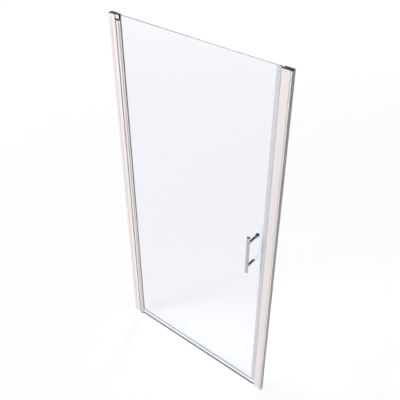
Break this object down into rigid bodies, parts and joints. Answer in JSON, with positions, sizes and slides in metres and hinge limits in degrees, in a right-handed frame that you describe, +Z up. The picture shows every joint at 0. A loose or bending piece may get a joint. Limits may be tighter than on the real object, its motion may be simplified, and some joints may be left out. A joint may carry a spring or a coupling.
{
  "type": "pivot shower door",
  "caption": "Frameless-look pivot shower door for a niche: clear glass on a round post that rises as it turns, slim wall profiles, magnetic seal and bar handle.",
  "frame": {"origin": "on the tray, midway between the two walls, in the plane of the profiles' front faces", "axes": "+X across the opening from the hinge wall to the closing wall, +Y into the shower, +Z up"},
  "size_m": [0.975, 0.091, 1.95],
  "materials": {
    "profile_aluminium": "bright anodised",
    "cast_metal": "polished",
    "black_plastic": "satin moulded",
    "dark_polymer": "moulded",
    "grey_plastic": "moulded",
    "bearing_polymer": "moulded",
    "steel_fasteners": "stainless",
    "steel_pins": "ground",
    "clear_glass": "clear toughened",
    "clear_rubber": "clear",
    "clear_seal": "translucent",
    "grey_seal": "translucent grey",
    "dark_lip": "soft",
    "magnet_rubber": "matte",
    "chrome_handle": "polished"
  },
  "bodies": {
    "frame": {"hinge_wall_profile": "profile_aluminium", "hinge_frame_profile": "profile_aluminium", "strike_wall_profile": "profile_aluminium", "strike_frame_profile": "profile_aluminium", "hinge_profile_cap": "black_plastic", "strike_profile_cap": "black_plastic", "top_block_cover": "black_plastic", "top_pivot_block": "cast_metal", "bottom_pivot_block": "dark_polymer", "pivot_block_screws": "steel_fasteners", "lock_screws": "steel_fasteners", "screw_covers": "grey_plastic", "top_pivot_bush": "bearing_polymer", "lower_lift_cam": "bearing_polymer", "bottom_pivot_pin": "steel_pins", "strike_magnet_holder": "grey_seal", "strike_magnet_strip": "magnet_rubber"},
    "top_pin": {"top_pivot_pin": "steel_pins"},
    "door": {"pivot_post": "profile_aluminium", "post_top_insert": "bearing_polymer", "post_lift_cam": "bearing_polymer", "post_grub_screws": "steel_fasteners", "glass_panel": "clear_glass", "glass_gasket": "clear_rubber", "door_magnet_seal": "clear_seal", "door_magnet_strip": "magnet_rubber", "bottom_seal": "clear_seal", "bottom_wiper_lip": "dark_lip", "handle_bar": "chrome_handle", "lower_handle_stem": "chrome_handle", "upper_handle_stem": "chrome_handle", "outer_handle_washers": "clear_rubber", "inner_handle_washers": "clear_rubber", "handle_hole_sleeves": "clear_rubber", "knob_stud": "steel_fasteners", "handle_screw": "steel_fasteners", "inner_knob": "chrome_handle", "inner_screw_button": "clear_rubber"}
  },
  "joints": [
    {"name": "door_swing", "type": "hinge", "parent": "frame", "child": "top_pin", "pos_m": [-0.4346, 0.012, 0], "axis": [0, 0, -1], "range_deg": [0, 110]},
    {"name": "door_lift", "type": "slide", "parent": "top_pin", "child": "door", "axis": [0, 0, 1], "range_m": [0, 0.005]}
  ],
  "couplings": [
    {"joint": "door_lift", "follows": "door_swing", "m_per_rad": 0.0026}
  ]
}
